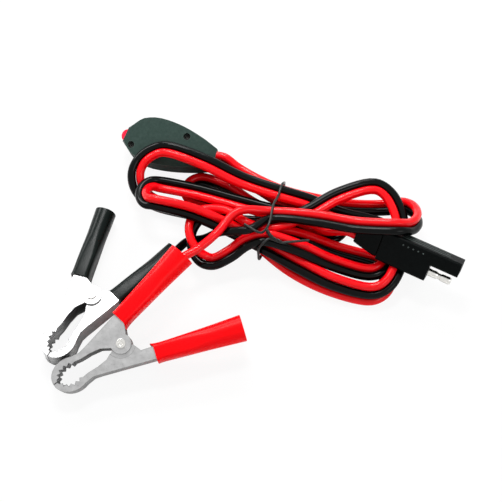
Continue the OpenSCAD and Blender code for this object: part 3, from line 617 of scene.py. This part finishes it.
def draw_in_handle(obj, place, mirror):
    """Draws in the end of a lever's handle, unlike the CAD's, so that its rounded sleeve covers it."""
    base = placement(*place, mirror) @ Matrix.Translation(SLEEVE_FROM) @ Matrix.Rotation(SLEEVE_ANGLE, 4, "Z")
    back = base.inverted()
    along_handle = (base.to_3x3() @ Vector((1, 0, 0))).normalized()
    bm = bmesh.new()
    bm.from_mesh(obj.data)
    for x in (NARROW_FROM, (NARROW_FROM + NARROW_TO) / 2, NARROW_TO):
        bmesh.ops.bisect_plane(bm, geom=bm.verts[:] + bm.edges[:] + bm.faces[:],
                               plane_co=base @ Vector((x, 0, 0)), plane_no=along_handle)
    for v in bm.verts:
        p = back @ v.co
        t = min(1, max(0, (p.x - NARROW_FROM) / (NARROW_TO - NARROW_FROM)))
        v.co = base @ Vector((p.x, p.y * (1 - NARROW_W * t), p.z * (1 - NARROW_H * t)))
    bm.to_mesh(obj.data)
    bm.free()


LEVERS = [
    ("red_fixed_lever", RED_CLIP, False), ("red_moving_lever", RED_CLIP, True),
    ("black_fixed_lever", BLACK_CLIP, True), ("black_moving_lever", BLACK_CLIP, False)]
for node, place, mirror in LEVERS:
    lever = refined(node, node + "_piece", "clip_steel", bevel=0.2, segments=2, angle=35)
    draw_in_handle(lever, place, mirror)
for node in ("red_clip_rivet", "black_clip_rivet"):
    refined(node, node + "_piece", "plated_steel", bevel=0.12, segments=2, angle=35)


def clip_spring(name, node, place):
    """The torsion spring round the rivet, made as one piece at rest."""
    coil_r, turns, height, wire_r = 0.003, 3, 0.0042, 0.0006
    leg_l, leg, anchor = 0.014, math.radians(43), 0.002
    sweep = math.radians(360 * turns + 180) - 2 * leg
    n = 96
    pts = []
    for i in range(n + 1):
        a = math.pi / 2 + leg + sweep * i / n
        pts.append(Vector((coil_r * math.cos(a), coil_r * math.sin(a), height * (0.5 - i / n))))
    first = pts[0] + leg_l * Vector((math.cos(leg), math.sin(leg), 0))
    last = pts[-1] + leg_l * Vector((math.cos(leg), -math.sin(leg), 0))
    m = placement(*place)
    obj = swept(name, [m @ p for p in [first] + pts + [last]], wire_r, "plated_steel",
                sides=10, smooth_steps=0)
    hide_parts(node)
    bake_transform(obj)
    return obj


clip_spring("red_spring_wire", "red_clip_spring", RED_CLIP)
clip_spring("black_spring_wire", "black_clip_spring", BLACK_CLIP)

# ---------------------------------------------------------------- switch
WARP_L, LONG_WARP_L, END_SHIFT, END_SLANT = 0.005, 0.0075, 0.0018, 0.227
KEEP_HALF, DRAW_IN = 0.0033, 0.82


def shape_end(obj):
    """Narrows the box at its rocker end and slants the end face, which the CAD leaves straight."""
    base = placement(*SWITCH)
    back = base.inverted()
    for v in obj.data.vertices:
        p = back @ v.co
        near = min(1, max(0, 1 - p.x / (WARP_L if p.y < 0 else LONG_WARP_L))) ** 2
        far = min(1, max(0, 1 - p.x / LONG_WARP_L)) ** 1.5
        side = ease(min(1, max(0, (p.y + 0.002) / 0.004)))
        w = near + (far - near) * side
        y = p.y - math.copysign(DRAW_IN * near * max(0, abs(p.y) - KEEP_HALF), p.y)
        v.co = base @ Vector((p.x + w * (END_SHIFT + END_SLANT * min(p.y, 0)), y, p.z))


shape_end(refined("switch_upper_shell", "switch_upper_shell_piece", "box_grey", bevel=0.6, segments=3))
shape_end(refined("switch_lower_shell", "switch_lower_shell_piece", "box_grey", bevel=0.35, segments=3))
shape_end(refined("switch_body", "switch_body_piece", "switch_black", bevel=0.15))
ROCKER_PIVOT, ROCKER_R, ROCKER_HALF_Z, ROCKER_OPEN = 0.0012, 0.0032, 0.0029, math.radians(60)


def rocker_mesh():
    """The rocker: a drum round its pivot, flat at the back, so that it turns without meeting the box."""
    base = placement(*SWITCH)
    count = 28
    outline = [ROCKER_OPEN + (2 * math.pi - 2 * ROCKER_OPEN) * i / count for i in range(count + 1)]
    bm = bmesh.new()
    rings = [[bm.verts.new(base @ Vector((ROCKER_PIVOT + ROCKER_R * math.cos(a), ROCKER_R * math.sin(a), z)))
              for a in outline] for z in (-ROCKER_HALF_Z, ROCKER_HALF_Z)]
    for k in range(count + 1):
        m = (k + 1) % (count + 1)
        bm.faces.new((rings[0][k], rings[0][m], rings[1][m], rings[1][k]))
    bm.faces.new(reversed(rings[0]))
    bm.faces.new(rings[1])
    bmesh.ops.recalc_face_normals(bm, faces=bm.faces)
    me = bpy.data.meshes.new("switch_rocker_piece")
    bm.to_mesh(me)
    bm.free()
    return me


rocker = shade(add("switch_rocker_piece", rocker_mesh()))
rounding = rocker.modifiers.new("rounded_edges", "BEVEL")
rounding.width, rounding.segments, rounding.limit_method = 0.7 * MM, 5, "ANGLE"
rounding.angle_limit = math.radians(35)
rounding.harden_normals = True
paint(rocker, "rocker_red")
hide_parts("switch_rocker")
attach(rocker, body_of("switch_rocker"))
refined("switch_grommet", "switch_grommet_piece", "switch_black", bevel=0.3, segments=3)

KEPT = {
    "switch_screws": "switch_black", "switch_contact_bar": "bare_copper", "switch_terminals": "plated_steel",
    "switch_red_wires": "red_insulation", "switch_black_wires": "black_insulation",
    "switch_splice": "plated_steel", "red_wire_lug": "plated_steel", "black_wire_lug": "plated_steel",
    "red_wire_core": "bare_copper", "black_wire_core": "bare_copper",
}
for node, slot in KEPT.items():
    o = NODES[node]
    for material_slot in o.material_slots:
        material_slot.material = MAT[slot]

# ---------------------------------------------------------------- floor, light and background
def plain_floor():
    bm = bmesh.new()
    n, size = 12, 1.6
    grid = [[bm.verts.new((VIEW_AT.x + size * (i / n - 0.5), VIEW_AT.y + size * (j / n - 0.5), -0.0001))
             for i in range(n + 1)] for j in range(n + 1)]
    for j in range(n):
        for i in range(n):
            bm.faces.new((grid[j][i], grid[j][i + 1], grid[j + 1][i + 1], grid[j + 1][i]))
    me = bpy.data.meshes.new("floor")
    bm.to_mesh(me)
    bm.free()
    floor = add("floor", me)
    m = bpy.data.materials.new("floor_paper")
    m.use_nodes = True
    nodes, links = m.node_tree.nodes, m.node_tree.links
    bsdf = nodes["Principled BSDF"]
    bsdf.inputs["Base Color"].default_value = (0.86, 0.86, 0.86, 1)
    bsdf.inputs["Roughness"].default_value = 0.9
    bsdf.inputs["Specular IOR Level"].default_value = 0.1
    glow = nodes.new("ShaderNodeEmission")
    glow.inputs["Color"].default_value = (1, 1, 1, 1)
    glow.inputs["Strength"].default_value = 1.0
    path = nodes.new("ShaderNodeLightPath")
    share = nodes.new("ShaderNodeMath")
    share.operation = "MULTIPLY"
    share.inputs[1].default_value = 0.9
    links.new(path.outputs["Is Camera Ray"], share.inputs[0])
    mix = nodes.new("ShaderNodeMixShader")
    links.new(share.outputs[0], mix.inputs[0])
    links.new(bsdf.outputs[0], mix.inputs[1])
    links.new(glow.outputs[0], mix.inputs[2])
    links.new(mix.outputs[0], nodes["Material Output"].inputs["Surface"])
    me.materials.append(m)


plain_floor()

world = bpy.data.worlds.new("studio")
bpy.context.scene.world = world
world.use_nodes = True
wn, wl = world.node_tree.nodes, world.node_tree.links
background = wn["Background"]
background.inputs["Color"].default_value = (1, 1, 1, 1)
paths = wn.new("ShaderNodeLightPath")
seen = wn.new("ShaderNodeMath")
seen.operation = "MAXIMUM"
glossy = wn.new("ShaderNodeMath")
glossy.operation = "MAXIMUM"
wl.new(paths.outputs["Is Camera Ray"], glossy.inputs[0])
wl.new(paths.outputs["Is Glossy Ray"], glossy.inputs[1])
wl.new(glossy.outputs[0], seen.inputs[0])
wl.new(paths.outputs["Is Transmission Ray"], seen.inputs[1])
level = wn.new("ShaderNodeMapRange")
level.inputs["To Min"].default_value = 0.5
level.inputs["To Max"].default_value = 1.0
wl.new(seen.outputs[0], level.inputs["Value"])
wl.new(level.outputs["Result"], background.inputs["Strength"])


def lamp(name, where, size, power, aim=VIEW_AT):
    data = bpy.data.lights.new(name, "AREA")
    data.shape = "RECTANGLE"
    data.size, data.size_y = size
    data.energy = power
    obj = bpy.data.objects.new(name, data)
    obj.location = where
    obj.rotation_euler = (Vector(aim) - Vector(where)).to_track_quat("-Z", "Y").to_euler()
    bpy.context.scene.collection.objects.link(obj)


lamp("key", (0.0, 0.32, 0.62), (0.24, 0.10), 2.6)
lamp("north", (0.0, 0.62, 0.46), (0.5, 0.12), 3.4)
lamp("fill", (0.45, -0.35, 0.55), (0.3, 0.2), 0.8)
lamp("left", (-0.50, 0.42, 0.38), (0.28, 0.18), 2.2)

bpy.context.scene.view_settings.view_transform = "Standard"
